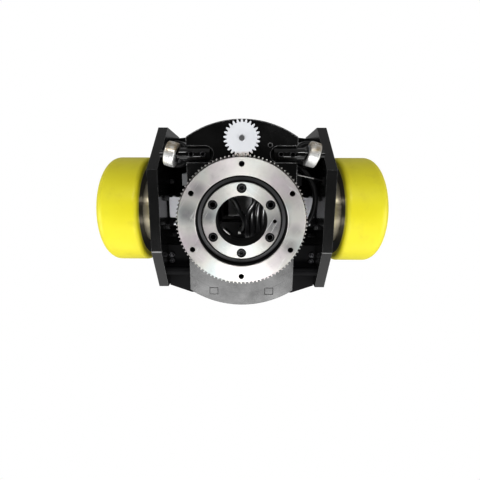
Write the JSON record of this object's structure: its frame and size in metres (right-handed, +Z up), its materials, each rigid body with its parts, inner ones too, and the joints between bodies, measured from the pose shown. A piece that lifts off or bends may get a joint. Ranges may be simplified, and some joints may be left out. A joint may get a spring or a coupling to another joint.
{
  "type": "agv drive wheel unit",
  "caption": "Differential drive wheel unit for a driverless truck: geared yellow wheels on a sprung chassis, under a toothed slewing ring with an encoder pinion.",
  "frame": {"origin": "on the floor, straight under the steering axis, half way between the wheels", "axes": "+X along the wheel axles to the right wheel, +Y towards the encoder pinion, +Z up along the steering axis"},
  "size_m": [0.48, 0.312, 0.218],
  "materials": {
    "tyre_polyurethane": "smooth cast polyurethane",
    "black_anodised": "satin black anodised plate",
    "bare_aluminium": "milled, bare",
    "ring_steel": "turned bright steel",
    "black_oxide": "black oxide",
    "zinc_steel": "bright zinc",
    "gearbox_steel": "turned steel drum",
    "motor_paint": "black powder coat",
    "black_plastic": "moulded, fine grain",
    "cable_jacket": "smooth jacket",
    "white_plastic": "moulded",
    "white_nylon": "machined nylon",
    "roller_chrome": "ground and polished",
    "bronze": "sintered bronze",
    "spring_steel": "oil tempered wire",
    "seal_rubber": "satin",
    "cage_plastic": "moulded"
  },
  "bodies": {
    "chassis": {"side_plate_left": "black_anodised", "side_plate_right": "black_anodised", "belly_plate": "black_anodised", "rear_deck": "motor_paint", "frame_screws": "black_oxide", "deck_nuts": "spring_steel", "gearbox_left": "gearbox_steel", "gearbox_right": "gearbox_steel", "gearbox_screws": "black_oxide", "motor_left": "motor_paint", "motor_right": "motor_paint", "motor_cap_left": "black_plastic", "motor_cap_right": "black_plastic", "motor_plugs": "black_plastic", "motor_screws": "zinc_steel", "spring_tower_left": "black_anodised", "spring_tower_right": "black_anodised", "tower_caps": "black_oxide", "spring_left": "spring_steel", "spring_right": "spring_steel", "bump_stops": "bare_aluminium", "hinge_shaft": "black_oxide", "hinge_collars": "black_oxide", "junction_box": "black_plastic", "socket_block": "black_plastic", "connector_plugs": "white_plastic", "cable_clip": "zinc_steel", "motor_cable_left": "cable_jacket", "motor_cable_right": "cable_jacket", "cable_bundle": "cable_jacket"},
    "left_wheel": {"tyre_left": "tyre_polyurethane", "rim_left": "black_oxide", "output_flange_left": "gearbox_steel", "wheel_bolts_left": "zinc_steel", "hub_cap_left": "black_plastic"},
    "right_wheel": {"tyre_right": "tyre_polyurethane", "rim_right": "black_oxide", "output_flange_right": "gearbox_steel", "wheel_bolts_right": "zinc_steel", "hub_cap_right": "black_plastic"},
    "carrier": {"carrier_plate": "black_anodised", "hinge_ears": "black_anodised", "hinge_bushes": "bronze", "inner_ring": "ring_steel", "ring_screws": "black_oxide", "ring_seal": "seal_rubber", "encoder_body": "black_plastic", "roller_shafts": "black_oxide", "roller_shaft_screws": "black_oxide", "roller_clips": "spring_steel", "roller_balls": "spring_steel"},
    "slewing_ring": {"toothed_ring": "ring_steel"},
    "ball_set": {"ball_cage": "cage_plastic", "bearing_balls": "roller_chrome"},
    "encoder_gear": {"encoder_pinion": "white_nylon", "pinion_shaft": "zinc_steel"},
    "left_roller": {"roller_left": "roller_chrome"},
    "right_roller": {"roller_right": "roller_chrome"},
    "left_plunger": {"plunger_left": "spring_steel"},
    "right_plunger": {"plunger_right": "spring_steel"}
  },
  "joints": [
    {"name": "left_wheel_spin", "type": "hinge", "parent": "chassis", "child": "left_wheel", "pos_m": [-0.205, 0, 0.097], "axis": [1, 0, 0], "continuous": true},
    {"name": "right_wheel_spin", "type": "hinge", "parent": "chassis", "child": "right_wheel", "pos_m": [0.205, 0, 0.097], "axis": [1, 0, 0], "continuous": true},
    {"name": "suspension_tilt", "type": "hinge", "parent": "chassis", "child": "carrier", "pos_m": [0, -0.106, 0.15], "axis": [1, 0, 0], "range_deg": [-3.2, 0], "stiffness_Nm_per_rad": 1270, "springref_deg": 2.75},
    {"name": "steering_turn", "type": "hinge", "parent": "carrier", "child": "slewing_ring", "pos_m": [0, 0, 0.2], "axis": [0, 0, 1], "continuous": true},
    {"name": "cage_turn", "type": "hinge", "parent": "carrier", "child": "ball_set", "pos_m": [0, 0, 0.194], "axis": [0, 0, 1], "continuous": true},
    {"name": "pinion_turn", "type": "hinge", "parent": "carrier", "child": "encoder_gear", "pos_m": [0, 0.125, 0.2], "axis": [0, 0, 1], "continuous": true},
    {"name": "left_roller_spin", "type": "hinge", "parent": "carrier", "child": "left_roller", "pos_m": [-0.111, 0.102, 0.182], "axis": [0.9659, -0.2588, 0], "continuous": true},
    {"name": "right_roller_spin", "type": "hinge", "parent": "carrier", "child": "right_roller", "pos_m": [0.111, 0.102, 0.182], "axis": [0.9613, -0.2756, 0], "continuous": true},
    {"name": "left_plunger_slide", "type": "slide", "parent": "chassis", "child": "left_plunger", "axis": [0, 0, 1], "range_m": [-0.012, 0], "deforming": ["spring_left"]},
    {"name": "right_plunger_slide", "type": "slide", "parent": "chassis", "child": "right_plunger", "axis": [0, 0, 1], "range_m": [-0.012, 0], "deforming": ["spring_right"]}
  ],
  "couplings": [
    {"joint": "pinion_turn", "follows": "steering_turn", "ratio": -4},
    {"joint": "cage_turn", "follows": "steering_turn", "ratio": 0.5377},
    {"joint": "left_plunger_slide", "follows": "suspension_tilt", "m_per_rad": 0.208},
    {"joint": "right_plunger_slide", "follows": "suspension_tilt", "m_per_rad": 0.208}
  ]
}
